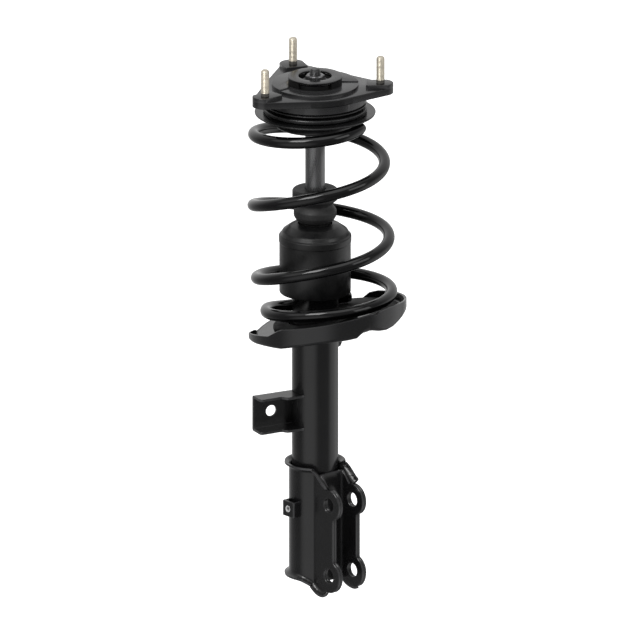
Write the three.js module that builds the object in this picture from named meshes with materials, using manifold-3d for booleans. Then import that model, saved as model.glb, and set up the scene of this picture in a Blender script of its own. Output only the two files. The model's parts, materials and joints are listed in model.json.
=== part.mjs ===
// A front suspension strut: twin-tube damper, coil spring, top mount with its bearing, and knuckle clevis.
// Millimetres, +Z up along the damper rod. The origin is on the rod's axis, level with the three pads of
// the top mount that bolt up against the car. The ears for the knuckle point along -Y.
// The strut is drawn at full droop: the damper is held out against its rebound stop by the spring.
import * as THREE from 'three';
import { mergeVertices } from 'three/addons/utils/BufferGeometryUtils.js';
import Module from 'manifold-3d';

const wasm = await Module();
wasm.setup();

const GAP = 0.3; // between pieces that touch
const SHEET = 3; // thickness of the heavy steel pressings
const ROUND_STEPS = 40; // sides of a full circle on the larger round pieces
const TUBE_STEPS = 32; // on the middling ones
const SMALL_STEPS = 20; // and on the smallest
const DEGREE = Math.PI / 180;

// Top mount: a three-cornered pressed plate over a round drum.
const DRUM_RADIUS = 57;
const DRUM_BOTTOM = -21.5;
const PLATE_TOP = -4.2;
const SKIRT_BOTTOM = -12;
const STEP_RADIUS = 47;
const STEP_TOP = 0.4;
const STEP_FRONT_TOP = -0.8;
const STEP_WEDGE_SETBACK = 4.8; // from the rod's axis back to the point of the lowered wedge
const COLLAR_RADIUS = 30;
const COLLAR_TOP = 6;
const MOUNT_BORE = 26.9;
const STUDS = [ // with the plate's corner radius there, and the raised pad's reach inwards and half width
  { name: 'mount_stud_left', x: -73.9, y: -0.3, corner: 12.7, padReach: 17, padHalfWidth: 11 },
  { name: 'mount_stud_rear', x: 27.8, y: 69.1, corner: 14.5, padReach: 13, padHalfWidth: 13.5 },
  { name: 'mount_stud_right', x: 55, y: -47.1, corner: 12.5, padReach: 16, padHalfWidth: 11 },
];
const CORNER_SHIFT = 1.8; // each rounded corner is centred this far outboard of its stud
const STUD_RADIUS = 4.7;
const STUD_TOP = 30;

// Damper
const ROD_RADIUS = 11;
const ROD_THREAD_RADIUS = 6;
const ROD_SHOULDER = -21.7;
const ROD_END = 14.5;
const PISTON_TOP = -303;
const PISTON_BOTTOM = -322;
const PISTON_BOLT_RADIUS = 5;
const TUBE_RADIUS = 25.8;
const TUBE_BORE = 23;
const TUBE_TOP = -222;
const TUBE_BOTTOM = -566;
const PRESSURE_TUBE_RADIUS = 17.2;
const PRESSURE_TUBE_BORE = 15.5;
const PRESSURE_TUBE_TOP = -250.3;
const PRESSURE_TUBE_BOTTOM = -548;
const SHIELD_BOTTOM = -242;

// Spring seats
const UPPER_FLANGE_RADIUS = 67.2;
const UPPER_FLANGE_TOP = -33;
const HUB_RADIUS = 45;
const HUB_BOTTOM = -49;
const LOWER_SEAT = {
  radius: 88,
  centreY: -20.5,
  sheet: 2.5,
  height: -279.3, // underside, on the damper's axis
  riseX: 0.1, // how the pressed dish climbs, per millimetre of x and y
  riseY: -0.167,
  tallWall: 21,
};

// Coil spring. Each row is a turn count from the right of the strut, the coil's radius and its height.
// The coils wind downwards, clockwise seen from above, and lean forward a little.
const WIRE_RADIUS = 6.5;
const COIL_START_ANGLE = -41.1 * DEGREE;
const COIL_AXIS_Y = 2.2; // the coils' centre line: y where it crosses the mount plane,
const COIL_AXIS_LEAN = 0.0787; // and its y per millimetre of height
const COIL_SEAT_START = 3.5; // from this turn on the wire comes down onto the lower seat
const COIL_SEAT_TURN = 3.75; // and from this turn on it lies there
const COIL_ROWS = [
  [0.078, 57.5, -43.6],
  [0.25, 64, -48.5],
  [0.5, 69.6, -59.5],
  [0.75, 72, -76],
  [1, 73.6, -91.3],
  [1.25, 74, -109.2],
  [1.5, 74.5, -140],
  [1.75, 74.2, -165.4],
  [2, 74.2, -176.3],
  [2.25, 74.4, -193.5],
  [2.5, 75, -222.8],
  [2.75, 74.4, -237.6],
  [3, 73.9, -238.6],
  [3.25, 71.5, -244],
  [3.5, 66.3, -259.8],
  [3.75, 62, -266],
  [3.82, 61.5, -266],
];
const COIL_STEPS_PER_TURN = 20;
const WIRE_SIDES = 12;

// Knuckle clevis
const SLEEVE_RADIUS = 29;
const SLEEVE_STEPS = 22;
const EAR_OUTER = 20.3; // |x| of the ears' outside
const EAR_INNER = 14.3;
const BOLT_Y = -45.8;
const BOLT_HEIGHTS = [-476.5, -558.4];
const BOLT_RADIUS = 8;
const LOBE_RADIUS = 17.7;
const EAR_NECK_Y = -52.6;
const SLEEVE_TOP = -441;
const SLEEVE_BOTTOM = -567;
const LIP = 4.5; // how far the sleeve's ends are flared out
const CHANNEL_WEB_Y = -28.3;
const CHANNEL_TOP = -446;

// Brackets on the tube
const LINK = {
  angle: 165.6, // degrees, from +X towards +Y
  reach: 72.2,
  top: -356.2,
  height: 41,
  back: -11.7, // across the bracket, from its middle line to the back of its web
  front: 9.7,
  holeReach: 50,
  holeRadius: 6.5,
};
const HOSE_TAB = {
  x: -38, yLow: -7.5, yHigh: 11.4, holeY: 3, top: -479.5, bottom: -497, holeRadius: 4, sheet: 2.5,
};

const MATERIALS = {
  blackPaint: { color: 0x1b1b1c, roughness: 0.45, metalness: 0.3 },
  springPaint: { color: 0x0c0c0d, roughness: 0.2, metalness: 0.3 },
  zincGold: { color: 0xb9a888, roughness: 0.35, metalness: 0.8 },
  steel: { color: 0x8d8f92, roughness: 0.3, metalness: 0.9 },
  darkRod: { color: 0x4a4a4b, roughness: 0.35, metalness: 0.7 },
  rubber: { color: 0x151515, roughness: 0.85, metalness: 0 },
  foam: { color: 0x2a2a2a, roughness: 0.7, metalness: 0 },
  plastic: { color: 0x1d1d1e, roughness: 0.5, metalness: 0 },
};
for (const [name, settings] of Object.entries(MATERIALS)) {
  MATERIALS[name] = new THREE.MeshStandardMaterial(settings);
}

const strut = new THREE.Group();

function addPart(name, material, geometry) {
  const mesh = new THREE.Mesh(geometry, material);
  mesh.name = name;
  strut.add(mesh);
}

// ---- shapes ----

// A ring or disc turned about Z from a list of [radius, z]. Off the axis, the list is closed for it.
function turned(profile, steps = ROUND_STEPS) {
  const points = profile.map(([radius, z]) => new THREE.Vector2(radius, z));
  if (THREE.ShapeUtils.isClockWise(points)) points.reverse();
  if (points[0].x > 0 || points.at(-1).x > 0) points.push(points[0].clone());
  return new THREE.LatheGeometry(points, steps).rotateX(Math.PI / 2);
}

function ring(inner, outer, bottom, top, steps = ROUND_STEPS) {
  return turned([[inner, bottom], [outer, bottom], [outer, top], [inner, top]], steps);
}

function disc(radius, bottom, top, steps = ROUND_STEPS) {
  return turned([[0, bottom], [radius, bottom], [radius, top], [0, top]], steps);
}

// A shape in the XY plane, raised from one height to another.
function raised(shape, bottom, top, curveSegments = 12) {
  const settings = { depth: top - bottom, bevelEnabled: false, curveSegments };
  return new THREE.ExtrudeGeometry(shape, settings).translate(0, 0, bottom);
}

// A shape drawn in (y, z), pushed out along X between two places.
function pushedAlongX(shape, from, to, curveSegments = 16) {
  return raised(shape, from, to, curveSegments).rotateX(Math.PI / 2).rotateZ(Math.PI / 2);
}

function cylinderAlongX(radius, y, z, from, to) {
  return disc(radius, from, to, SMALL_STEPS).rotateY(Math.PI / 2).translate(0, y, z);
}

function box(x0, x1, y0, y1, z0, z1) {
  const block = new THREE.BoxGeometry(x1 - x0, y1 - y0, z1 - z0);
  return block.translate((x0 + x1) / 2, (y0 + y1) / 2, (z0 + z1) / 2);
}

// The outline of the tightest band round some circles {x, y, radius}.
function bandRound(circles, steps = 72) {
  const points = [];
  for (let step = 0; step < steps; step++) {
    const angle = (step / steps) * 2 * Math.PI;
    const reach = (c) => c.x * Math.cos(angle) + c.y * Math.sin(angle) + c.radius;
    const touched = circles.reduce((best, c) => (reach(c) > reach(best) ? c : best));
    const x = touched.x + touched.radius * Math.cos(angle);
    const y = touched.y + touched.radius * Math.sin(angle);
    points.push(new THREE.Vector2(x, y));
  }
  return new THREE.Shape(points);
}

// Part of a ring, between two angles in degrees.
function ringSector(inner, outer, startDegrees, endDegrees) {
  const shape = new THREE.Shape();
  shape.absarc(0, 0, outer, startDegrees * DEGREE, endDegrees * DEGREE, false);
  shape.absarc(0, 0, inner, endDegrees * DEGREE, startDegrees * DEGREE, true);
  shape.closePath();
  return shape;
}

// Moves each vertex of a geometry by a function of its place.
function reshaped(geometry, move) {
  const position = geometry.getAttribute('position');
  const point = new THREE.Vector3();
  for (let i = 0; i < position.count; i++) {
    move(point.fromBufferAttribute(position, i));
    position.setXYZ(i, point.x, point.y, point.z);
  }
  return geometry;
}

// ---- joins and cuts ----

function toSolid(geometry) {
  const bare = geometry.clone();
  bare.deleteAttribute('normal');
  bare.deleteAttribute('uv');
  const merged = mergeVertices(bare, 1e-3);
  const vertProperties = new Float32Array(merged.attributes.position.array);
  const triVerts = new Uint32Array(merged.index.array);
  return new wasm.Manifold(new wasm.Mesh({ numProp: 3, vertProperties, triVerts }));
}

function toGeometry(solid) {
  const mesh = solid.getMesh();
  const geometry = new THREE.BufferGeometry();
  geometry.setAttribute('position', new THREE.BufferAttribute(new Float32Array(mesh.vertProperties), 3));
  geometry.setIndex(new THREE.BufferAttribute(new Uint32Array(mesh.triVerts), 1));
  geometry.computeVertexNormals();
  return geometry;
}

function joined(...geometries) {
  return toGeometry(geometries.map(toSolid).reduce((whole, next) => whole.add(next)));
}

function cut(geometry, ...tools) {
  return toGeometry(tools.map(toSolid).reduce((whole, tool) => whole.subtract(tool), toSolid(geometry)));
}

function shared(geometry, other) {
  return toGeometry(toSolid(geometry).intersect(toSolid(other)));
}

// ---- top mount ----

function mountOutline(inset) {
  const corners = STUDS.map(({ x, y, corner }) => {
    const outboard = 1 + CORNER_SHIFT / Math.hypot(x, y);
    return { x: x * outboard, y: y * outboard, radius: corner - inset };
  });
  return bandRound([{ x: 0, y: 0, radius: DRUM_RADIUS - inset }, ...corners]);
}

// A block over the plate's corner at a stud, as wide as the pad that is raised there.
function padRegion({ x, y, padReach, padHalfWidth }) {
  const inner = Math.hypot(x, y) - padReach;
  const block = box(inner, inner + 60, -padHalfWidth, padHalfWidth, PLATE_TOP - 1, 0);
  return block.rotateZ(Math.atan2(y, x));
}

// The wedge of the step that is lowered, facing away from the rear stud.
function stepSector() {
  const [left, rear, right] = STUDS.map(({ x, y }) => new THREE.Vector2(x, y).normalize());
  const apex = rear.clone().multiplyScalar(STEP_WEDGE_SETBACK);
  const reach = 2 * STEP_RADIUS;
  const wedge = new THREE.Shape([
    apex,
    left.multiplyScalar(reach).add(apex),
    rear.multiplyScalar(-reach),
    right.multiplyScalar(reach).add(apex),
  ]);
  return raised(wedge, STEP_FRONT_TOP, STEP_TOP + 1);
}

function mountPlate() {
  const corners = STUDS.map((stud) => shared(raised(mountOutline(0), PLATE_TOP - 1, 0), padRegion(stud)));
  const step = turned([
    [0, PLATE_TOP - 1], [STEP_RADIUS + 1.5, PLATE_TOP - 1], [STEP_RADIUS + 1.5, PLATE_TOP],
    [STEP_RADIUS, STEP_TOP], [0, STEP_TOP],
  ]);
  const body = joined(
    raised(mountOutline(0), SKIRT_BOTTOM, PLATE_TOP),
    disc(DRUM_RADIUS, DRUM_BOTTOM, PLATE_TOP),
    cut(step, stepSector()),
    disc(COLLAR_RADIUS, PLATE_TOP, COLLAR_TOP),
    ...corners,
  );
  const ceiling = PLATE_TOP - SHEET;
  const windows = [0, 1, 2].map((third) =>
    box(20, 34, -17, 17, STEP_TOP + 0.2, COLLAR_TOP + 1).rotateZ((-131 + 120 * third) * DEGREE));
  const studHoles = STUDS.map(({ x, y }) =>
    disc(STUD_RADIUS + GAP, SKIRT_BOTTOM, 1, SMALL_STEPS).translate(x, y, 0));
  return cut(
    body,
    raised(mountOutline(SHEET), SKIRT_BOTTOM - 1, ceiling),
    disc(DRUM_RADIUS - SHEET, DRUM_BOTTOM - 1, ceiling),
    disc(MOUNT_BORE, DRUM_BOTTOM, COLLAR_TOP + 1),
    ...windows,
    ...studHoles,
  );
}

function mountStud() {
  const headTop = PLATE_TOP - SHEET - GAP;
  return turned([
    [0, headTop - 3], [7.5, headTop - 3], [7.5, headTop], [STUD_RADIUS, headTop],
    [STUD_RADIUS, STUD_TOP - 1.6], [STUD_RADIUS - 1.4, STUD_TOP], [0, STUD_TOP],
  ], SMALL_STEPS);
}

function hexNut(acrossFlats, bore, bottom, top) {
  const corner = acrossFlats / Math.sqrt(3);
  return cut(disc(corner, bottom, top, 6), disc(bore, bottom - 1, top + 1, SMALL_STEPS));
}

function addTopMount() {
  const { blackPaint, zincGold, steel, rubber } = MATERIALS;
  const well = 16; // radius of the well that the nut sits in
  const washerTop = -0.7;
  const washerBottom = washerTop - 2.5;
  const lowerWasherTop = ROD_SHOULDER + GAP + 2.5;
  const sleeveTop = washerBottom - GAP;
  const sleeveBottom = lowerWasherTop + GAP;
  addPart('mount_plate', blackPaint, mountPlate());
  for (const { name, x, y } of STUDS) {
    addPart(name, zincGold, mountStud().translate(x, y, 0));
  }
  addPart('mount_top_ring', blackPaint, ring(17.7, 30.5, COLLAR_TOP + GAP, COLLAR_TOP + GAP + 2));
  addPart('mount_lower_shell', blackPaint, ring(20, DRUM_RADIUS - SHEET - GAP - 0.1, DRUM_BOTTOM, DRUM_BOTTOM + 2.5));
  addPart('mount_rubber_bushing', rubber, turned([
    [9.9, sleeveBottom], [26.5, sleeveBottom], [26.5, 3.5], [22, 1], [well, 0.5], [well, sleeveTop], [9.9, sleeveTop],
  ]));
  addPart('mount_inner_sleeve', steel, ring(6.5, 9.6, sleeveBottom, sleeveTop, SMALL_STEPS));
  addPart('mount_upper_washer', steel, turned([
    [6.5, washerBottom], [15.5, washerBottom], [15.5, 2.5], [14, 2.5], [14, washerTop], [6.5, washerTop],
  ], SMALL_STEPS));
  addPart('mount_lower_washer', steel, ring(6.5, 17, ROD_SHOULDER + GAP, lowerWasherTop, SMALL_STEPS));
  addPart('rod_top_nut', steel, hexNut(19, ROD_THREAD_RADIUS + GAP, washerTop + GAP, 7));
}

// ---- bearing ----

const BALL_COUNT = 12;
const BALL_RADIUS = 2.4;
const BALL_CIRCLE = 46;
const BALL_HEIGHT = -27.3;

function ballPlaces() {
  return Array.from({ length: BALL_COUNT }, (_, i) => {
    const angle = (i / BALL_COUNT) * 2 * Math.PI;
    return [BALL_CIRCLE * Math.cos(angle), BALL_CIRCLE * Math.sin(angle)];
  });
}

function addBearing() {
  const { plastic, steel, rubber } = MATERIALS;
  const upperBottom = DRUM_BOTTOM - 3;
  const floor = BALL_HEIGHT - BALL_RADIUS - GAP;
  const lowerBottom = UPPER_FLANGE_TOP + GAP;
  const pockets = ballPlaces().map(([x, y]) =>
    disc(BALL_RADIUS + GAP, BALL_HEIGHT - 2, BALL_HEIGHT + 2, 12).translate(x, y, 0));
  addPart('bearing_upper_race', plastic, ring(34, 57.6, upperBottom, DRUM_BOTTOM - GAP));
  addPart('bearing_cage', plastic, cut(ring(42.5, 49.5, BALL_HEIGHT - 1, BALL_HEIGHT + 1), ...pockets));
  ballPlaces().forEach(([x, y], i) => {
    const name = `bearing_ball_${String(i + 1).padStart(2, '0')}`;
    addPart(name, steel, new THREE.IcosahedronGeometry(BALL_RADIUS, 1).translate(x, y, BALL_HEIGHT));
  });
  addPart('bearing_lower_race', plastic, turned([
    [34, lowerBottom], [57.6, lowerBottom], [57.6, upperBottom - 1.1], [52, upperBottom - 1.1],
    [52, floor], [34, floor],
  ]));
  addPart('bearing_dust_seal', rubber, ring(37, 40, floor + GAP, upperBottom - GAP));
}

// ---- springs and seats ----

// Reads a column of a table at a given turn, along a smooth curve through its rows.
function smoothColumn(rows, turn, column) {
  const last = rows.length - 2;
  const found = rows.findIndex((row, i) => i <= last && turn <= rows[i + 1][0]);
  const i = found < 0 ? last : found;
  const slope = (k) => {
    const before = rows[Math.max(k - 1, 0)];
    const after = rows[Math.min(k + 1, rows.length - 1)];
    return (after[column] - before[column]) / (after[0] - before[0]);
  };
  const span = rows[i + 1][0] - rows[i][0];
  const t = (turn - rows[i][0]) / span;
  const ease = t * t * (3 - 2 * t);
  const leave = t * (1 - t) * (1 - t) * span * slope(i);
  const arrive = t * t * (1 - t) * span * slope(i + 1);
  return rows[i][column] * (1 - ease) + rows[i + 1][column] * ease + leave - arrive;
}

function lowerSeatHeight(x, y) {
  return LOWER_SEAT.height + LOWER_SEAT.riseX * x + LOWER_SEAT.riseY * y;
}

const PAD_THICKNESS = 3.4;
const WIRE_ABOVE_SEAT = LOWER_SEAT.sheet + GAP + PAD_THICKNESS + GAP + WIRE_RADIUS;

function coilPoint(turn) {
  const angle = COIL_START_ANGLE - turn * 2 * Math.PI;
  const radius = smoothColumn(COIL_ROWS, turn, 1);
  const level = smoothColumn(COIL_ROWS, turn, 2);
  const x = radius * Math.cos(angle);
  const across = radius * Math.sin(angle);
  const y = across + COIL_AXIS_Y + COIL_AXIS_LEAN * level;
  const onSeat = THREE.MathUtils.smoothstep(turn, COIL_SEAT_START, COIL_SEAT_TURN);
  return new THREE.Vector3(x, y, level * (1 - onSeat) + (lowerSeatHeight(x, y) + WIRE_ABOVE_SEAT) * onSeat);
}

function coilSpring() {
  const start = COIL_ROWS[0][0];
  const end = COIL_ROWS.at(-1)[0];
  const steps = Math.round((end - start) * COIL_STEPS_PER_TURN);
  const points = Array.from({ length: steps + 1 }, (_, i) => coilPoint(start + ((end - start) * i) / steps));
  const section = new THREE.Shape();
  section.absarc(0, 0, WIRE_RADIUS, 0, 2 * Math.PI);
  const path = new THREE.CatmullRomCurve3(points);
  return new THREE.ExtrudeGeometry(section, { steps, extrudePath: path, curveSegments: WIRE_SIDES / 2 });
}

// Height of the lower seat's wall at an angle in degrees: tall under the ears' side, low or absent behind.
function seatWall(angle) {
  const { tallWall, sheet } = LOWER_SEAT;
  const lowLip = sheet + 1;
  const stretches = [
    [-241, lowLip], [-228, lowLip], [-222, 8], [-192, 12], [-180, 12.7], [-170, 19.5], [-166, tallWall],
    [-79, tallWall], [-41, 14], [9, 12], [16, 10], [22, lowLip], [119, lowLip],
  ];
  const wrapped = angle > 119 ? angle - 360 : angle;
  const i = stretches.findIndex(([limit]) => wrapped <= limit);
  const [from, low] = stretches[i - 1];
  const [to, high] = stretches[i];
  return THREE.MathUtils.mapLinear(wrapped, from, to, low, high);
}

function onSeatPlane(geometry) {
  return reshaped(geometry.translate(0, LOWER_SEAT.centreY, 0), (point) => {
    point.z += lowerSeatHeight(point.x, point.y);
  });
}

function lowerSpringSeat() {
  const { radius, sheet, tallWall } = LOWER_SEAT;
  const dish = turned([
    [0, 0], [radius - 5, 0], [radius, 4], [radius, tallWall], [radius - sheet, tallWall],
    [radius - sheet, 4.5], [radius - 6, sheet], [0, sheet],
  ]);
  reshaped(dish, (point) => {
    const wall = seatWall(Math.atan2(point.y, point.x) / DEGREE);
    if (point.z > sheet) point.z = THREE.MathUtils.mapLinear(point.z, sheet, tallWall, sheet, wall);
  });
  return cut(onSeatPlane(dish), disc(TUBE_RADIUS + GAP, LOWER_SEAT.height - 30, LOWER_SEAT.height + 30));
}

function lowerInsulator() {
  const { radius, sheet } = LOWER_SEAT;
  const pad = ringSector(TUBE_RADIUS + 24, radius - 7, -181, 59);
  return onSeatPlane(raised(pad, sheet + GAP, sheet + GAP + PAD_THICKNESS, TUBE_STEPS));
}

function seatGusset() {
  const profile = new THREE.Shape([
    new THREE.Vector2(TUBE_RADIUS + GAP, -280),
    new THREE.Vector2(TUBE_RADIUS + GAP, -315),
    new THREE.Vector2(37, -313),
    new THREE.Vector2(39, -308),
    new THREE.Vector2(50, -282),
    new THREE.Vector2(50, -276.5),
  ]);
  const thickness = SHEET;
  return raised(profile, -thickness / 2, thickness / 2).rotateX(Math.PI / 2);
}

function addSprings() {
  const { blackPaint, springPaint, rubber, foam, plastic } = MATERIALS;
  const flangeBottom = UPPER_FLANGE_TOP - 1.5;
  addPart('upper_spring_seat', blackPaint, turned([
    [34, UPPER_FLANGE_TOP], [UPPER_FLANGE_RADIUS, UPPER_FLANGE_TOP], [UPPER_FLANGE_RADIUS, flangeBottom],
    [HUB_RADIUS, flangeBottom], [HUB_RADIUS, HUB_BOTTOM], [16, HUB_BOTTOM], [16, HUB_BOTTOM + 2],
    [HUB_RADIUS - 2, HUB_BOTTOM + 2], [HUB_RADIUS - 2, flangeBottom], [34, flangeBottom],
  ]));
  addPart('upper_spring_insulator', rubber, ring(HUB_RADIUS + GAP, 64, flangeBottom - 2, flangeBottom - GAP));
  addPart('coil_spring', springPaint, coilSpring());
  addPart('lower_spring_seat', blackPaint, lowerSpringSeat());
  addPart('lower_spring_insulator', rubber, lowerInsulator());
  addPart('seat_gusset', blackPaint, seatGusset());
  addPart('jounce_bumper', foam, turned([
    [ROD_RADIUS + 0.6, -218.8], [20, -218.8], [22, -216], [22, -169], [17.2, -166], [17.2, -161.5],
    [21, -158.5], [23.8, -154], [23.8, -147], [19.3, -140.5], [22.5, -137], [25.4, -134], [25.4, -124.5],
    [24, -123], [ROD_RADIUS + 0.6, -123],
  ], TUBE_STEPS));
  addPart('dust_shield', plastic, turned([
    [17.7, -165], [19.5, -162], [28, -165.5], [37.6, -173.6], [40.3, -176.5], [40.3, -183], [39.7, -185],
    [39.7, SHIELD_BOTTOM], [37.9, SHIELD_BOTTOM], [37.9, -185], [38.3, -183], [38.3, -177.5],
    [36, -175], [27, -167.5],
  ], 40));
}

// ---- damper ----

function addDamper() {
  const { blackPaint, steel, darkRod, rubber } = MATERIALS;
  const boltEnd = PISTON_BOTTOM - 11;
  const bandInner = 14;
  addPart('piston_rod', darkRod, turned([
    [0, boltEnd], [PISTON_BOLT_RADIUS, boltEnd], [PISTON_BOLT_RADIUS, PISTON_TOP + GAP],
    [ROD_RADIUS, PISTON_TOP + GAP], [ROD_RADIUS, ROD_SHOULDER - 1], [ROD_RADIUS - 1, ROD_SHOULDER],
    [ROD_THREAD_RADIUS, ROD_SHOULDER], [ROD_THREAD_RADIUS, ROD_END - 1], [ROD_THREAD_RADIUS - 1, ROD_END],
    [0, ROD_END],
  ], TUBE_STEPS));
  addPart('rebound_stop', rubber, ring(ROD_RADIUS + GAP, 14.8, PRESSURE_TUBE_TOP - 10, PRESSURE_TUBE_TOP - GAP, TUBE_STEPS));
  addPart('damper_piston', steel, turned([
    [PISTON_BOLT_RADIUS + GAP, PISTON_BOTTOM], [15, PISTON_BOTTOM], [15, PISTON_BOTTOM + 5],
    [bandInner, PISTON_BOTTOM + 5], [bandInner, PISTON_TOP - 5], [15, PISTON_TOP - 5], [15, PISTON_TOP],
    [PISTON_BOLT_RADIUS + GAP, PISTON_TOP],
  ], TUBE_STEPS));
  addPart('piston_band', rubber, ring(bandInner + GAP, 15.2, PISTON_BOTTOM + 5 + GAP, PISTON_TOP - 5 - GAP, TUBE_STEPS));
  addPart('piston_nut', steel, hexNut(17, PISTON_BOLT_RADIUS + GAP, PISTON_BOTTOM - 9, PISTON_BOTTOM - GAP));

  addPart('tube_top_cap', blackPaint, ring(ROD_RADIUS + 1.2, TUBE_RADIUS, TUBE_TOP + GAP, TUBE_TOP + 2.8, TUBE_STEPS));
  addPart('rod_seal', rubber, ring(ROD_RADIUS + GAP, TUBE_BORE - GAP, TUBE_TOP - 6, TUBE_TOP - GAP, TUBE_STEPS));
  addPart('rod_guide', steel, ring(ROD_RADIUS + GAP, TUBE_BORE - GAP, PRESSURE_TUBE_TOP + GAP, TUBE_TOP - 6 - GAP, TUBE_STEPS));
  addPart('pressure_tube', steel, ring(PRESSURE_TUBE_BORE, PRESSURE_TUBE_RADIUS, PRESSURE_TUBE_BOTTOM, PRESSURE_TUBE_TOP, TUBE_STEPS));
  addPart('base_valve', steel, turned([
    [0, TUBE_BOTTOM + 7], [12, TUBE_BOTTOM + 7], [12, TUBE_BOTTOM + 12], [PRESSURE_TUBE_RADIUS, TUBE_BOTTOM + 12],
    [PRESSURE_TUBE_RADIUS, PRESSURE_TUBE_BOTTOM - GAP], [9, PRESSURE_TUBE_BOTTOM - GAP],
    [9, PRESSURE_TUBE_BOTTOM + 5], [0, PRESSURE_TUBE_BOTTOM + 5],
  ], TUBE_STEPS));
  addPart('strut_tube', blackPaint, ring(TUBE_BORE, TUBE_RADIUS, TUBE_BOTTOM, TUBE_TOP));
  addPart('tube_bottom_cap', blackPaint, turned([
    [0, TUBE_BOTTOM + 3], [14, TUBE_BOTTOM + 2], [TUBE_BORE - GAP, TUBE_BOTTOM], [TUBE_BORE - GAP, TUBE_BOTTOM + 3],
    [14, TUBE_BOTTOM + 5], [0, TUBE_BOTTOM + 6],
  ], TUBE_STEPS));
}

// ---- clevis and brackets ----

// Side view of an ear in (y, z): a lobe round each bolt, a straight neck between, and the sleeve behind.
function earProfile() {
  const [upper, lower] = BOLT_HEIGHTS;
  const neck = Math.acos((BOLT_Y - EAR_NECK_Y) / LOBE_RADIUS);
  const shape = new THREE.Shape();
  shape.moveTo(SLEEVE_RADIUS + LIP + 1, SLEEVE_TOP);
  shape.lineTo(-24, SLEEVE_TOP);
  shape.absarc(BOLT_Y, upper, LOBE_RADIUS, 62 * DEGREE, Math.PI + neck, false);
  shape.absarc(BOLT_Y, lower, LOBE_RADIUS, Math.PI - neck, 286 * DEGREE, false);
  shape.lineTo(-36, lower - LOBE_RADIUS - 1);
  shape.lineTo(-24, SLEEVE_BOTTOM);
  shape.lineTo(SLEEVE_RADIUS + LIP + 1, SLEEVE_BOTTOM);
  shape.closePath();
  return shape;
}

function boltCutters() {
  return BOLT_HEIGHTS.map((z) => cylinderAlongX(BOLT_RADIUS, BOLT_Y, z, -40, 40));
}

// Plan view of one side of the wrapped sheet: round the tube, then straight out to the ears.
function sleeveOutline(radius, side) {
  const leave = Math.asin(side / radius);
  const shape = new THREE.Shape();
  shape.moveTo(side, -80);
  shape.lineTo(side, -radius * Math.cos(leave));
  shape.absarc(0, 0, radius, leave - Math.PI / 2, 1.5 * Math.PI - leave, false);
  shape.lineTo(-side, -80);
  shape.closePath();
  return shape;
}

function knuckleBracket() {
  const flared = sleeveOutline(SLEEVE_RADIUS + LIP, EAR_OUTER + LIP);
  const outer = joined(
    raised(sleeveOutline(SLEEVE_RADIUS, EAR_OUTER), -600, -420, SLEEVE_STEPS),
    raised(flared, SLEEVE_TOP - LIP, SLEEVE_TOP, SLEEVE_STEPS),
    raised(flared, SLEEVE_BOTTOM, SLEEVE_BOTTOM + LIP, SLEEVE_STEPS),
  );
  const inner = raised(sleeveOutline(TUBE_RADIUS + GAP, EAR_OUTER - SHEET), -601, -419, SLEEVE_STEPS);
  const side = pushedAlongX(earProfile(), -40, 40);
  return cut(shared(cut(outer, inner), side), ...boltCutters());
}

function knuckleReinforcement() {
  const outside = EAR_OUTER - SHEET - GAP;
  const back = -TUBE_RADIUS - 0.4;
  const channel = cut(
    box(-outside, outside, -80, back, -600, CHANNEL_TOP),
    box(-EAR_INNER, EAR_INNER, -81, CHANNEL_WEB_Y, -601, -430),
  );
  return cut(shared(channel, pushedAlongX(earProfile(), -40, 40)), ...boltCutters());
}

function linkBracket() {
  const { reach, top, height, back, front, holeReach, holeRadius, angle } = LINK;
  const bottom = top - height;
  const flange = new THREE.Shape();
  flange.moveTo(15, back);
  flange.lineTo(reach, back);
  flange.lineTo(reach, front - 3);
  flange.lineTo(reach - 3, front);
  flange.lineTo(50, front);
  flange.lineTo(46, front + 6);
  flange.lineTo(34, front + 6);
  flange.lineTo(15, front + 6);
  flange.closePath();
  const hole = disc(holeRadius, -5, 5, SMALL_STEPS).rotateX(Math.PI / 2);
  const bracket = cut(
    joined(
      raised(flange, top - SHEET, top),
      raised(flange, bottom, bottom + SHEET),
      box(15, reach, back, back + SHEET, bottom, top),
    ),
    disc(TUBE_RADIUS + GAP, bottom - 1, top + 1),
    hole.translate(holeReach, back, (top + bottom) / 2),
  );
  return bracket.rotateZ(angle * DEGREE);
}

function hoseBracket() {
  const { x, yLow, yHigh, holeY, top, bottom, holeRadius, sheet } = HOSE_TAB;
  const block = box(x, -15, yLow, yHigh, bottom, top);
  return cut(
    block,
    box(x + sheet, 0, yLow + sheet, yHigh - sheet, bottom - 1, top + 1),
    disc(SLEEVE_RADIUS + GAP, bottom - 1, top + 1),
    cylinderAlongX(holeRadius, holeY, (top + bottom) / 2, x - 1, x + sheet + 1),
  );
}

function addBrackets() {
  const { blackPaint } = MATERIALS;
  addPart('knuckle_bracket', blackPaint, knuckleBracket());
  addPart('knuckle_reinforcement', blackPaint, knuckleReinforcement());
  addPart('link_bracket', blackPaint, linkBracket());
  addPart('hose_bracket', blackPaint, hoseBracket());
}

addTopMount();
addBearing();
addSprings();
addDamper();
addBrackets();

export default strut;
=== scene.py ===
"""The looks of the front suspension strut: smooth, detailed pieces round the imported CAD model, with their
materials, a camera and a plain pale studio. Shapes are worked out in millimetres and stored in metres."""

import json
import math

import bmesh
import bpy
import numpy as np
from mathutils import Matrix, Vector
from mathutils.geometry import delaunay_2d_cdt


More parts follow.
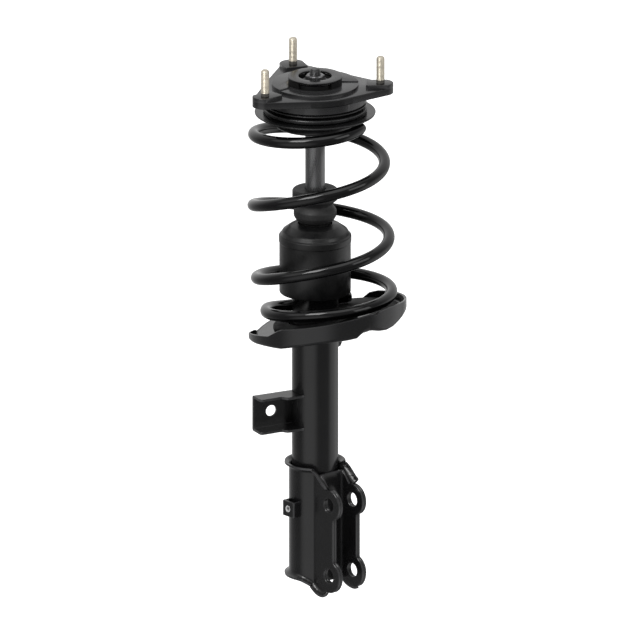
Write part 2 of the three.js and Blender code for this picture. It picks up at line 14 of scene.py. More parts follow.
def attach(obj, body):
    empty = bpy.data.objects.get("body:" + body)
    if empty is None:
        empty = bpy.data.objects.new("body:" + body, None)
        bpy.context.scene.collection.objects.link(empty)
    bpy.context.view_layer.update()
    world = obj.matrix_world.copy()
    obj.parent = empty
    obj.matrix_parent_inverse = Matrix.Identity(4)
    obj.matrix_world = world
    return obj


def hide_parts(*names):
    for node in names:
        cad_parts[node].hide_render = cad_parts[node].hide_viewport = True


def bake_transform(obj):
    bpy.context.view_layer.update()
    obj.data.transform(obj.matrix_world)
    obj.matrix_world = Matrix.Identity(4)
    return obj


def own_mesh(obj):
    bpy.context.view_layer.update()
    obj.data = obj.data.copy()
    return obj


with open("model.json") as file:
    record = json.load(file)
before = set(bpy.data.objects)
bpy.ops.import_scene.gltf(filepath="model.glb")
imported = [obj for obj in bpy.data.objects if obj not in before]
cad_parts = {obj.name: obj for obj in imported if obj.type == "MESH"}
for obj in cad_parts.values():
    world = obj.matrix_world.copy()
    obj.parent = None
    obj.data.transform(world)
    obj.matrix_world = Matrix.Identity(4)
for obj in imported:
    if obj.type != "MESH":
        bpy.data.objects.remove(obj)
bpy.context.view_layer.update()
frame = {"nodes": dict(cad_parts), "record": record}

MM = 0.001
TAU = 2 * math.pi
STEPS = 128  # round a full turn, on the larger pieces
EDGE = 0.4  # the usual rounding of an edge, in millimetres
SHARP = math.radians(38)


# ---------------------------------------------------------------- materials


def material(name, colour, rough, metal=0.0, patch=0.2, patch_scale=30.0, grain=0.1, grain_scale=900.0,
             rough_change=0.08, wear=None, wear_amount=0.0, streaks=(1, 1, 1), specular=0.5):
    """A procedural finish: cloudy colour, uneven gloss, fine grain as bump, and rubbed edges."""
    made = bpy.data.materials.new(name)
    made.use_nodes = True
    nodes, links = made.node_tree.nodes, made.node_tree.links
    shader = nodes["Principled BSDF"]
    shader.inputs["Metallic"].default_value = metal
    shader.inputs["Specular IOR Level"].default_value = specular
    place = nodes.new("ShaderNodeTexCoord")
    stretch = nodes.new("ShaderNodeMapping")
    stretch.inputs["Scale"].default_value = streaks
    links.new(place.outputs["Object"], stretch.inputs["Vector"])

    def noise(scale, detail):
        node = nodes.new("ShaderNodeTexNoise")
        node.inputs["Scale"].default_value = scale
        node.inputs["Detail"].default_value = detail
        links.new(stretch.outputs["Vector"], node.inputs["Vector"])
        return node.outputs["Fac"]

    def spread(value, low, high, from_low=0.3, from_high=0.7):
        node = nodes.new("ShaderNodeMapRange")
        node.inputs["From Min"].default_value = from_low
        node.inputs["From Max"].default_value = from_high
        node.inputs["To Min"].default_value = low
        node.inputs["To Max"].default_value = high
        links.new(value, node.inputs["Value"])
        return node.outputs["Result"]

    def blended(share, first, second):
        node = nodes.new("ShaderNodeMix")
        node.data_type = "RGBA"
        links.new(share, node.inputs["Factor"])
        for socket, value in ((node.inputs["A"], first), (node.inputs["B"], second)):
            if isinstance(value, tuple):
                socket.default_value = (*value, 1)
            else:
                links.new(value, socket)
        return node.outputs["Result"]

    clouds = noise(patch_scale, 5)
    darker = tuple(c * (1 - patch) for c in colour)
    lighter = tuple(min(1, c * (1 + patch)) for c in colour)
    tint = blended(spread(clouds, 0, 1), darker, lighter)
    if wear:
        geometry = nodes.new("ShaderNodeNewGeometry")
        rubbed = spread(geometry.outputs["Pointiness"], 0, wear_amount, 0.52, 0.62)
        tint = blended(rubbed, tint, wear)
    links.new(tint, shader.inputs["Base Color"])
    gloss = noise(patch_scale * 4, 4)
    links.new(spread(gloss, rough - rough_change, rough + rough_change), shader.inputs["Roughness"])
    bump = nodes.new("ShaderNodeBump")
    bump.inputs["Strength"].default_value = grain
    bump.inputs["Distance"].default_value = 0.0004
    links.new(noise(grain_scale, 3), bump.inputs["Height"])
    links.new(bump.outputs["Normal"], shader.inputs["Normal"])
    return made


BARE = (0.3, 0.3, 0.31)
paint = material("semi_gloss_paint", (0.006, 0.006, 0.0063), 0.2, patch=0.12, grain=0.012, grain_scale=420,
                 rough_change=0.03, wear=BARE, wear_amount=0.12)
mount_paint = material("mount_paint", (0.0045, 0.0045, 0.0048), 0.2, patch=0.12, grain=0.012, grain_scale=420,
                       rough_change=0.03, wear=BARE, wear_amount=0.12)
spring_paint = material("spring_gloss_paint", (0.002, 0.002, 0.0022), 0.11, patch=0.3, grain=0.01,
                        grain_scale=160, rough_change=0.03, specular=0.4)
zinc = material("pale_yellow_zinc", (0.62, 0.57, 0.47), 0.36, metal=0.75, patch=0.16, patch_scale=140,
                grain=0.15, grain_scale=1400)
steel = material("plated_steel", (0.2, 0.2, 0.205), 0.3, metal=0.9, patch=0.15, patch_scale=90,
                 grain=0.12, grain_scale=1500)
rod_steel = material("dark_ground_rod", (0.15, 0.15, 0.152), 0.27, metal=0.75, patch=0.1, patch_scale=60,
                     grain=0.08, grain_scale=1600, streaks=(1, 1, 0.05))
thread_steel = material("dark_thread", (0.05, 0.05, 0.051), 0.3, metal=0.7, patch=0.1, grain=0.1,
                        grain_scale=1500)
dark_shank = material("dark_shank", (0.1, 0.095, 0.085), 0.45, metal=0.6, patch=0.2, grain=0.2)
bright_plate = material("bright_plate", (0.7, 0.7, 0.7), 0.3, metal=0.6, patch=0.1, grain=0.1,
                        grain_scale=1500)
rubber = material("black_rubber", (0.004, 0.004, 0.004), 0.6, patch=0.25, grain=0.3, grain_scale=700,
                  specular=0.2)
foam = material("bumper_foam", (0.007, 0.007, 0.0072), 0.55, patch=0.15, grain=0.35, grain_scale=1500)
plastic = material("moulded_plastic", (0.004, 0.004, 0.0042), 0.36, patch=0.12, grain=0.05,
                   grain_scale=1100)
race_plastic = material("race_plastic", (0.01, 0.01, 0.0105), 0.26, patch=0.12, grain=0.03, grain_scale=900)


# ---------------------------------------------------------------- shapes


def rounded(corners, closed=True, steps=4):
    """A path through corners (a, b, rounding), with an arc at each corner."""
    out = []
    for i, (a, b, *given) in enumerate(corners):
        here = Vector((a, b))
        radius = given[0] if given else EDGE
        if radius == 0 or (not closed and i in (0, len(corners) - 1)):
            out.append((a, b))
            continue
        back = Vector(corners[i - 1][:2]) - here
        on = Vector(corners[(i + 1) % len(corners)][:2]) - here
        angle = back.angle(on)
        if angle > math.radians(176):
            out.append((a, b))
            continue
        reach = min(radius / math.tan(angle / 2), 0.47 * back.length, 0.47 * on.length)
        radius = reach * math.tan(angle / 2)
        back.normalize()
        on.normalize()
        centre = here + (back + on).normalized() * (radius / math.sin(angle / 2))
        first = here + back * reach - centre
        turn = -first.angle_signed(here + on * reach - centre)
        start = math.atan2(first.y, first.x)
        for k in range(steps + 1):
            at = start + turn * k / steps
            out.append((centre.x + radius * math.cos(at), centre.y + radius * math.sin(at)))
    return out


def piece(name, points, faces, finish, body, replaces=(), slot=None, sharp=SHARP):
    """A mesh given in millimetres, which rides on a CAD body if one is named."""
    mesh = bpy.data.meshes.new(name)
    mesh.from_pydata([tuple(c * MM for c in p) for p in points], [], [tuple(map(int, f)) for f in faces])
    bm = bmesh.new()
    bm.from_mesh(mesh)
    bmesh.ops.remove_doubles(bm, verts=bm.verts, dist=2e-6)
    bmesh.ops.dissolve_degenerate(bm, edges=bm.edges, dist=1e-7)
    bmesh.ops.recalc_face_normals(bm, faces=bm.faces)
    bm.to_mesh(mesh)
    bm.free()
    mesh.polygons.foreach_set("use_smooth", [True] * len(mesh.polygons))
    mesh.set_sharp_from_angle(angle=sharp)
    made = bpy.data.objects.new(name, mesh)
    bpy.context.scene.collection.objects.link(made)
    mesh.materials.append(finish)
    if body:
        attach(made, body)
    if replaces:
        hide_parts(*replaces)
    return made


def grid_faces(rows, columns, wrap_rows=False, wrap_columns=False):
    """The quads between rows of points, each row as long as the others."""
    faces = []
    for i in range(rows if wrap_rows else rows - 1):
        for j in range(columns if wrap_columns else columns - 1):
            i2, j2 = (i + 1) % rows, (j + 1) % columns
            faces.append((i * columns + j, i2 * columns + j, i2 * columns + j2, i * columns + j2))
    return faces


def end_faces(rows, columns):
    """The first and last row of a grid, each as one face, to close a grid that wraps along its columns."""
    return [tuple(range(columns)), tuple(range((rows - 1) * columns, rows * columns))[::-1]]


def turned_mesh(corners, steps=STEPS, centre=(0, 0)):
    """Points and faces of a shape turned about Z from corners (radius, z, rounding)."""
    on_axis = corners[0][0] == 0 and corners[-1][0] == 0
    profile = rounded(corners, closed=not on_axis)
    points = []
    for k in range(steps):
        c, s = math.cos(TAU * k / steps), math.sin(TAU * k / steps)
        points += [(centre[0] + r * c, centre[1] + r * s, z) for r, z in profile]
    return points, grid_faces(steps, len(profile), True, not on_axis)


def turned(name, corners, finish, body, steps=STEPS, **facts):
    return piece(name, *turned_mesh(corners, steps), finish, body, **facts)


def joined(*meshes):
    """Several (points, faces) as one."""
    points, faces = [], []
    for some, theirs in meshes:
        faces += [tuple(i + len(points) for i in f) for f in theirs]
        points += some
    return points, faces


def swept_mesh(path, radii, sides, closed=False):
    """A round bar along a path, with a radius at each of its points."""
    count = len(path)
    path = [Vector(p) for p in path]
    points = []
    for i, here in enumerate(path):
        before = path[i - 1] if closed or i else here
        after = path[(i + 1) % count] if closed or i < count - 1 else here
        along = (after - before).normalized()
        side = along.cross(Vector((0, 0, 1))).normalized()
        top = side.cross(along)
        for k in range(sides):
            c, s = math.cos(TAU * k / sides), math.sin(TAU * k / sides)
            points.append(tuple(here + side * (radii[i] * c) + top * (radii[i] * s)))
    faces = grid_faces(count, sides, closed, True)
    if not closed:
        faces += end_faces(count, sides)
    return points, faces


def inside(point, loop):
    """Is a point within a closed loop of points?"""
    x, y = point
    a = np.array(loop)
    b = np.roll(a, -1, axis=0)
    crosses = (a[:, 1] > y) != (b[:, 1] > y)
    with np.errstate(divide="ignore", invalid="ignore"):
        at = (b[:, 0] - a[:, 0]) * (y - a[:, 1]) / (b[:, 1] - a[:, 1]) + a[:, 0]
    return np.count_nonzero(crosses & (x < at)) % 2 == 1


def spaced(loop, gap):
    """The loop again, with points added so that none are more than gap apart."""
    out = []
    for a, b in zip(loop, loop[1:] + loop[:1]):
        pieces = max(1, math.ceil(math.dist(a, b) / gap))
        out += [(a[0] + (b[0] - a[0]) * k / pieces, a[1] + (b[1] - a[1]) * k / pieces) for k in range(pieces)]
    return out


def circle(x, y, radius, steps=40):
    return [(x + radius * math.cos(TAU * k / steps), y + radius * math.sin(TAU * k / steps))
            for k in range(steps)]


def sheet_mesh(outline, holes, place, thickness, gap=3.0, extra=(), rim=0.35):
    """A bent sheet: a flat pattern with holes, laid in space by place(s, t), which gives a point of one face.
    The sheet lies behind that face, where s runs right and t runs up as seen from in front, or before it if
    the thickness is negative. Its rim is chamfered by rim."""
    side = math.copysign(1, thickness)
    loops = [spaced(list(outline), gap)] + [spaced(list(h), gap) for h in holes]
    flat, edges = [], []
    for loop in loops:
        base = len(flat)
        flat += loop
        edges += [(base + k, base + (k + 1) % len(loop)) for k in range(len(loop))]
    rim_points = np.array(flat)
    low, high = rim_points.min(0), rim_points.max(0)
    inner = list(extra)
    for i, s in enumerate(np.arange(low[0] + gap / 2, high[0], gap)):
        shift = (gap / 2) * (i % 2)
        inner += [(s, t) for t in np.arange(low[1] + gap / 2 + shift, high[1], gap)]
    for p in inner:
        if inside(p, loops[0]) and not any(inside(p, h) for h in loops[1:]):
            if np.min(np.hypot(*(rim_points - p).T)) > 0.3 * gap or p in extra:
                flat.append(tuple(map(float, p)))
    found = delaunay_2d_cdt([Vector(p) for p in flat], edges, [], 0, 1e-5, True)
    flat = [tuple(v) for v in found[0]]
    keep = []
    for face in found[2]:
        middle = tuple(sum(flat[i][k] for i in face) / len(face) for k in (0, 1))
        if inside(middle, loops[0]) and not any(inside(middle, h) for h in loops[1:]):
            keep.append(tuple(face))
    directed = {(a, b) for f in keep for a, b in zip(f, f[1:] + f[:1])}
    border = [(a, b) for a, b in directed if (b, a) not in directed]
    inward = {}
    for a, b in border:
        way = Vector(flat[b]) - Vector(flat[a])
        left = Vector((-way.y, way.x)).normalized()
        for i in (a, b):
            inward[i] = inward.get(i, Vector((0, 0))) + left

    def point_and_normal(s, t, step=0.05):
        along = Vector(place(s + step, t)) - Vector(place(s - step, t))
        across = Vector(place(s, t + step)) - Vector(place(s, t - step))
        return Vector(place(s, t)), along.cross(across).normalized() * side

    outer, under, rims = [], [], {}
    for i, (s, t) in enumerate(flat):
        inset = inward[i].normalized() * rim if i in inward else Vector((0, 0))
        here, normal = point_and_normal(s + inset.x, t + inset.y)
        outer.append(here)
        under.append(here - normal * abs(thickness))
        if i in inward:
            here, normal = point_and_normal(s, t)
            rims[i] = (here - normal * rim, here - normal * (abs(thickness) - rim))
    count = len(flat)
    points = outer + under
    index = {}
    for i, (upper, lower) in rims.items():
        index[i] = (len(points), len(points) + 1)
        points += [upper, lower]
    faces = keep + [tuple(i + count for i in reversed(f)) for f in keep]
    for a, b in border:
        faces += [(b, a, index[a][0], index[b][0]), (index[b][0], index[a][0], index[a][1], index[b][1]),
                  (index[b][1], index[a][1], a + count, b + count)]
    return [tuple(p) for p in points], faces


def slab_mesh(outline, bottom, top, edge):
    """A plate cut to an outline that runs left-handed or right-handed, with a rounded top edge."""
    loop = np.array(outline)
    before, after = loop - np.roll(loop, 1, axis=0), np.roll(loop, -1, axis=0) - loop
    area = np.sum(loop[:, 0] * np.roll(loop[:, 1], -1) - loop[:, 1] * np.roll(loop[:, 0], -1))
    turn = 1 if area > 0 else -1
    normals = []
    for way in (before, after):
        size = np.maximum(np.hypot(*way.T), 1e-9)
        normals.append(turn * np.stack([-way[:, 1] / size, way[:, 0] / size], axis=1))
    middle = normals[0] + normals[1]
    middle /= np.maximum((middle * normals[0]).sum(1), 0.3)[:, None]
    rings = [(0, bottom)]
    rings += [(edge * (1 - math.cos(a)), top - edge + edge * math.sin(a))
              for a in np.linspace(0, math.pi / 2, 5)]
    points = []
    for inset, z in rings:
        points += [(x, y, z) for x, y in loop + middle * inset]
    count = len(loop)
    return points, grid_faces(len(rings), count, False, True) + end_faces(len(rings), count)


def smooth_step(x, low, high):
    """0 below low, 1 above high, and smoothly between."""
    t = np.clip((x - low) / (high - low), 0, 1)
    return t * t * (3 - 2 * t)


# ---------------------------------------------------------------- top mount

PLATE_TOP = -4.2
PLATE_SHEET = 3.0
COLLAR = (27.0, 30.0)  # inner and outer radius
STEP_RADIUS = 48.2
DRUM = 57.0  # radius
CORNER_SHIFT = 1.8  # each corner is rounded about a point this much further out than its stud
SKIRT_BOTTOM = -12.0
DRUM_BOTTOM = -20.6
STUDS = {  # x, y, corner radius, pad's reach inwards, pad's half width
    "mount_stud_left": (-73.9, -0.3, 12.7, 17.0, 11.0),
    "mount_stud_rear": (27.8, 69.1, 14.5, 13.0, 13.5),
    "mount_stud_right": (55.0, -47.1, 12.5, 16.0, 11.0),
}


def plate_reach(angle):
    """How far the plate's outline is from the axis, at an angle."""
    circles = [(0.0, 0.0, DRUM)]
    for x, y, corner, _, _ in STUDS.values():
        out = 1 + CORNER_SHIFT / math.hypot(x, y)
        circles.append((x * out, y * out, corner))
    fan = np.radians(np.arange(0, 360, 0.5))
    tops = np.max([x * np.cos(fan) + y * np.sin(fan) + r for x, y, r in circles], axis=0)
    facing = np.cos(fan - angle)
    return np.min(np.where(facing > 0.05, tops / np.maximum(facing, 1e-6), 1e9))


def pad_mesh(x, y, corner, reach, half):
    """The raised pad round a stud, cut off square towards the middle of the mount."""
    out = math.hypot(x, y)
    along, across = (x / out, y / out), (-y / out, x / out)
    centre, inner = out + CORNER_SHIFT, out - reach
    lean = math.asin(half / corner)
    shape = [(centre + corner * math.cos(a) + 0.04, corner * math.sin(a))
             for a in np.linspace(-lean, lean, 25)]
    shape += rounded([(inner + 8, half, 0), (inner, half, 2.5), (inner, -half, 2.5), (inner + 8, -half, 0)],
                     closed=False)
    outline = [(along[0] * a + across[0] * b, along[1] * a + across[1] * b) for a, b in shape]
    return slab_mesh(outline, PLATE_TOP - 0.5, 0.0, 0.7)


def step_mesh():
    """The stepped disc on the plate: low at the front, and a wider wedge of it 1.2 mm higher at the back."""
    hole = COLLAR[0] + 0.2
    low = turned_mesh([(hole, -5, 0), (STEP_RADIUS, -5, 0), (STEP_RADIUS, -0.8, 0.5), (hole, -0.8, 0)], 180)
    left, rear, right = (Vector(STUDS[n][:2]).normalized()
                         for n in ("mount_stud_left", "mount_stud_rear", "mount_stud_right"))
    start = rear * 4.8

    def crossing(way, reach):
        b, c = start.dot(way), start.length_squared - reach ** 2
        return start + way * (-b + math.sqrt(b * b - c))

    def arc(first, last, reach):
        a, b = math.atan2(first.y, first.x), math.atan2(last.y, last.x)
        b += TAU * (b < a)
        return [(reach * math.cos(t), reach * math.sin(t)) for t in np.linspace(a, b, 70)]

    wedge = STEP_RADIUS + 0.05
    outer = arc(crossing(right, wedge), crossing(left, wedge), wedge)
    inner = arc(crossing(right, 28), crossing(left, 28), 28)
    return joined(low, slab_mesh(outer + inner[::-1], -3.0, 0.4, 0.45))


def plate_and_drum():
    """The three-cornered plate with its skirt, and the drum that hangs under it, as one closed shell."""
    angles = np.linspace(0, TAU, 720, endpoint=False)
    reach = np.array([plate_reach(a) for a in angles])
    corner = 0.9
    still = np.zeros_like(reach)
    columns = [(still + COLLAR[0], still + PLATE_TOP)]
    columns += [(reach - corner + corner * math.sin(a), still + PLATE_TOP - corner + corner * math.cos(a))
                for a in np.linspace(0, math.pi / 2, 6)]
    pocket = np.maximum(reach - PLATE_SHEET, DRUM)
    roof = SKIRT_BOTTOM + (PLATE_TOP - PLATE_SHEET - SKIRT_BOTTOM) * smooth_step(pocket - DRUM, 0.2, 2.5)
    columns += [(reach, still + SKIRT_BOTTOM + 0.5), (reach - 0.5, still + SKIRT_BOTTOM)]
    columns += [(np.maximum(pocket + 0.4, DRUM), still + SKIRT_BOTTOM), (pocket, roof - 0.01)]
    columns += [(still + DRUM, roof), (still + DRUM, still + DRUM_BOTTOM + 0.6)]
    bore = DRUM - PLATE_SHEET
    columns += [(still + r, still + z) for r, z in (
        (DRUM - 0.6, DRUM_BOTTOM), (bore + 0.4, DRUM_BOTTOM), (bore, DRUM_BOTTOM + 0.4),
        (bore, PLATE_TOP - PLATE_SHEET), (COLLAR[0], PLATE_TOP - PLATE_SHEET))]
    points = []
    for i, a in enumerate(angles):
        points += [(r[i] * math.cos(a), r[i] * math.sin(a), z[i]) for r, z in columns]
    return points, grid_faces(len(angles), len(columns), True, True)


def collar_post(middle_degrees, half_degrees=22.5):
    """One of the posts between the collar's windows."""
    inner, outer = COLLAR
    section = ((inner, -1.5), (outer, -1.5), (outer, 5.7), (outer - 0.3, 6), (inner, 6))
    fan = np.radians(np.linspace(middle_degrees - half_degrees, middle_degrees + half_degrees, 15))
    points = [(r * math.cos(a), r * math.sin(a), z) for a in fan for r, z in section]
    faces = grid_faces(len(fan), len(section), False, True) + end_faces(len(fan), len(section))
    return points, faces


def build_pressing():
    wall = turned_mesh([(COLLAR[0], -5, 0), (COLLAR[1], -5, 0), (COLLAR[1], -0.7), (COLLAR[0], -0.7)])
    posts = [collar_post(-71 + 120 * third) for third in range(3)]
    pads = [pad_mesh(*numbers) for numbers in STUDS.values()]
    # The collar's wall and posts belong to the steel pressing. They get the dark, dull rubber finish as
    # painted shade under the ring's overhang.
    piece("mount_posts_painted_shade", *joined(wall, *posts), rubber, "top_mount", slot="black_paint",
          sharp=math.radians(30))
    piece("mount_pressing", *joined(plate_and_drum(), *pads, step_mesh()), mount_paint, "top_mount",
          replaces=["mount_plate"], slot="black_paint", sharp=math.radians(30))


def threaded(bottom, top, radius, pitch, depth, x=0.0, y=0.0, sides=28):
    """A screw thread as a closed mesh, tapering out at its top."""
    rows = int((top - bottom) / pitch * 8)
    points = []
    for i in range(rows + 1):
        z = bottom + (top - bottom) * i / rows
        taper = 1.2 * max(0.0, 1 - (top - z) / 1.6)
        for k in range(sides):
            phase = ((z - bottom) / pitch - k / sides) % 1
            groove = depth * (0.5 - 0.5 * math.cos(TAU * phase)) * min(1, (z - bottom) / pitch + 0.2)
            r = radius - groove - taper
            points.append((x + r * math.cos(TAU * k / sides), y + r * math.sin(TAU * k / sides), z))
    return points, grid_faces(rows + 1, sides, False, True) + end_faces(rows + 1, sides)


def build_stud(name, x, y):
    """A zinc-plated stud, dark on the shank below its thread."""
    head_top = PLATE_TOP - 3.3
    shank = turned_mesh([
        (0, head_top - 3), (7.5, head_top - 3, 0.5), (7.5, head_top, 0.3), (4.7, head_top, 0.2),
        (4.7, 3.2, 0.3), (0, 3.2),
    ], 36, (x, y))
    thread = threaded(3.0, 30.0, 4.7, 1.5, 0.42, x, y)
    made = piece(name.replace("mount_", "threaded_"), *joined(shank, thread), zinc, "top_mount",
                 replaces=[name], slot="zinc_studs", sharp=math.radians(60))
    made.data.materials.append(dark_shank)
    for polygon in made.data.polygons:
        if polygon.center.z < 3.3 * MM:
            polygon.material_index = 1


def hex_nut_mesh(flats, bore, bottom, top):
    """A hexagon nut with chamfered corners."""
    corner = flats / math.sqrt(3)
    rings = []
    steps = 96
    caps = ((flats / 2 * 0.96, bottom), (corner, bottom + 1.0), (corner, top - 1.1), (flats / 2 * 0.95, top))
    for r_cap, z in caps:
        ring = []
        for k in range(steps):
            a = TAU * k / steps
            near = (a + math.pi / 6) % (math.pi / 3) - math.pi / 6
            ring.append((min(r_cap, flats / 2 / math.cos(near)), a, z))
        rings.append(ring)
    rings += [[(bore + 0.6, TAU * k / steps, top) for k in range(steps)],
              [(bore, TAU * k / steps, top - 0.6) for k in range(steps)],
              [(bore, TAU * k / steps, bottom) for k in range(steps)]]
    points = [(r * math.cos(a), r * math.sin(a), z) for ring in rings for r, a, z in ring]
    return points, grid_faces(len(rings), steps, True, True)


def build_top_mount():
    build_pressing()
    for name, (x, y, *_) in STUDS.items():
        build_stud(name, x, y)
    turned("mount_ring", [
        (18.4, 6.2, 0.6), (29.8, 6.2, 0.3), (30.5, 6.7, 0.3), (30.5, 8.1, 0.5), (18.4, 8.3, 0.8),
    ], mount_paint, "top_mount", replaces=["mount_top_ring"], slot="black_paint")
    turned("mount_rubber", [
        (9.9, -18.4), (26.5, -18.4), (26.5, 3.6, 1.2), (22.4, 3.2, 1), (20.5, 0.6, 1.5), (16.2, 0.2, 0.6),
        (16.2, -3.6), (9.9, -3.6),
    ], rubber, "top_mount", replaces=["mount_rubber_bushing"], slot="black_rubber")
    turned("cup_washer", [
        (6.5, -3.2), (14, -3.2, 1.5), (15.5, 0, 1), (15.5, 2.6, 0.5), (14.2, 2.6, 0.5), (13.2, -0.7, 1.5),
        (6.5, -0.7),
    ], steel, "top_mount", replaces=["mount_upper_washer"], slot="bright_steel")
    piece("rod_nut", *hex_nut_mesh(19.0, 6.3, -0.5, 9.4), steel, "top_mount", replaces=["rod_top_nut"],
          slot="bright_steel", sharp=math.radians(25))
    turned("damper_rod", [
        (0, -333), (5, -333), (5, -303), (11, -302.7), (11, -22.7, 0.6), (10, -21.7, 0.4), (6, -21.7, 0.2),
        (6, 6, 0.1), (5.6, 6.5, 0.1), (0, 6.5),
    ], rod_steel, "top_mount", 96, replaces=["piston_rod"], slot="piston_rod")
    piece("rod_thread", *threaded(6.0, 16.2, 6.0, 1.25, 0.4, sides=36), thread_steel, "top_mount",
          slot="piston_rod")


# ---------------------------------------------------------------- bearing and upper seat


def build_upper_seat():
    turned("bearing_top_race", [
        (34, -24.5), (55, -24.5), (55.2, -23.6, 0.3), (57.2, -23.4, 0.3), (57.2, -22.3, 0.3), (55, -22, 0.3),
        (54.5, -21.8), (34, -21.8),
    ], race_plastic, "top_mount", replaces=["bearing_upper_race"], slot="black_plastic")
    turned("bearing_bottom_race", [
        (34, -32.7), (55, -32.7), (55.5, -31.4, 0.4), (57.6, -31, 0.6), (57.8, -28, 1), (57.3, -27.2, 0.6),
        (52, -26.6), (52, -30), (34, -30),
    ], race_plastic, "spring_seat", replaces=["bearing_lower_race"], slot="black_plastic")
    turned("spring_seat_pressing", [
        (34, -33), (66.4, -33, 0.5), (67.2, -33.4, 0.4), (67.0, -34.6, 0.5), (46.5, -34.5, 2), (45, -36, 3),
        (45, -49, 2.5), (16, -49, 0.6), (16, -47, 0.4), (43, -47, 2), (43, -35, 2), (34, -34.5),
    ], paint, "spring_seat", replaces=["upper_spring_seat"], slot="black_paint")
    turned("upper_insulator", [
        (45.4, -36.5, 0.5), (64, -36.5, 0.8), (64.3, -34.8, 0.6), (45.4, -34.8),
    ], rubber, "spring_seat", replaces=["upper_spring_insulator"], slot="black_rubber")


# ---------------------------------------------------------------- coil spring

WIRE = 6.5
COIL_START_ANGLE = math.radians(-41.1)
COIL_ROWS = [  # turn, coil radius, height
    (0.078, 57.5, -43.6), (0.25, 64, -48.5), (0.5, 69.6, -59.5), (0.75, 72, -76), (1, 73.6, -91.3),
    (1.25, 74, -109.2), (1.5, 74.5, -140), (1.75, 74.2, -165.4), (2, 74.2, -176.3), (2.25, 74.4, -193.5),
    (2.5, 75, -222.8), (2.75, 74.4, -237.6), (3, 73.9, -238.6), (3.25, 71.5, -244), (3.5, 66.3, -259.8),
    (3.75, 62, -266), (3.82, 61.5, -266),
]
SEAT_UNDERSIDE = -279.3
SEAT_CENTRE_Y = -20.5
SEAT_SHEET = 2.5
WIRE_ON_SEAT = 13.0  # from the seat's underside up to the middle of the wire that lies on it


def smooth_column(turn, column):
    """A column of COIL_ROWS at a turn, along a smooth curve through the rows."""
    i = next((k for k in range(len(COIL_ROWS) - 1) if turn <= COIL_ROWS[k + 1][0]), len(COIL_ROWS) - 2)

    def slope(k):
        before, after = COIL_ROWS[max(k - 1, 0)], COIL_ROWS[min(k + 1, len(COIL_ROWS) - 1)]
        return (after[column] - before[column]) / (after[0] - before[0])

    first, second = COIL_ROWS[i], COIL_ROWS[i + 1]
    span = second[0] - first[0]
    t = (turn - first[0]) / span
    ease = t * t * (3 - 2 * t)
    leave = t * (1 - t) ** 2 * span * slope(i)
    arrive = t * t * (1 - t) * span * slope(i + 1)
    return first[column] * (1 - ease) + second[column] * ease + leave - arrive


def seat_plane(x, y):
    """Height of the tilted underside of the lower seat."""
    return SEAT_UNDERSIDE + 0.1 * x - 0.167 * y


def coil_point(turn):
    """The middle of the wire, this many turns down from its upper end."""
    angle = COIL_START_ANGLE - turn * TAU
    radius, level = smooth_column(turn, 1), smooth_column(turn, 2)
    x, y = radius * math.cos(angle), radius * math.sin(angle) + 2.2 + 0.0787 * level
    on_seat = float(smooth_step(turn, 3.5, 3.75))
    return (x, y, level * (1 - on_seat) + (seat_plane(x, y) + WIRE_ON_SEAT) * on_seat)


def build_spring():
    start, end = COIL_ROWS[0][0], COIL_ROWS[-1][0]
    sides, per_turn = 28, 72
    count = round((end - start) * per_turn)
    turns = [start + (end - start) * k / count for k in range(count + 1)]
    path = [coil_point(t) for t in turns]
    radii = [WIRE] * len(path)
    radii[0] = radii[-1] = WIRE - 0.9
    spring = piece("coil_spring_wire", *swept_mesh(path, radii, sides), spring_paint, None,
                   slot="spring_paint", sharp=math.radians(50))
    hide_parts("coil_spring")
    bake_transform(spring)
    # For each point of the wire, the nearest point of its middle line is found.
    middles = np.array(path) * MM
    at = np.array([v.co for v in spring.data.vertices])
    nearest = np.empty(len(at), int)
    for k in range(0, len(at), 4000):
        block = at[k:k + 4000]
        nearest[k:k + 4000] = np.argmin(((block[:, None, :] - middles[None]) ** 2).sum(2), axis=1)


# ---------------------------------------------------------------- lower seat

SEAT_RADIUS = 88.0
SEAT_SEAM = 119  # degrees: angles round the seat run from here less a full turn up to here
NO_WALL = 2.6  # height of the seat's edge where it has no wall
WALL = [  # angle round the seat in degrees, height of the wall there
    (-241, NO_WALL), (-228, 3.5), (-222, 8), (-192, 12), (-180, 12.7), (-170, 19.5), (-166, 21), (-79, 21),
    (-41, 14), (9, 12), (16, 10), (22, 3.5), (60, 2.8), (SEAT_SEAM, NO_WALL),
]
HEM = [  # angle, how far the wall's foot is pushed down there
    (-190, 0), (-180, 0.8), (-168, 2.5), (-155, 1.2), (-138, 0.8), (-125, 1.8), (-115, 3), (-108, 3.4),
    (-105, 0.6), (-102, -1.4), (-98, -1.8), (-93, 0.4), (-87, 3.6), (-80, 5.8), (-73, 5.6), (-63, 3),
    (-52, 0.6), (-45, 0),
]
FOLD = 5.0  # radius of the bend between the seat's floor and its wall
TUBE_HOLE = 26.1  # radius of the holes and hollows that the tube goes through


def wall_height(degrees):
    """Height of the seat's wall at an angle, with a small notch in its top."""
    plain = np.interp(degrees, [a for a, _ in WALL], [h for _, h in WALL])
    return float(plain - 3.0 * np.exp(-((degrees + 92.5) / 2.2) ** 2))


def hem_drop(degrees):
    """How far the wall's foot is pushed down (or, if negative, up) at an angle round the seat."""
    return float(np.interp(degrees, [a for a, _ in HEM], [d for _, d in HEM]))


def seat_radius(degrees):
    """The seat's flat side, at the left of its back, is a little nearer to the tube."""
    dent = smooth_step(degrees, 70, 122) if degrees > 0 else 1 - smooth_step(degrees, -226, -213)
    return SEAT_RADIUS - 8 * float(dent)


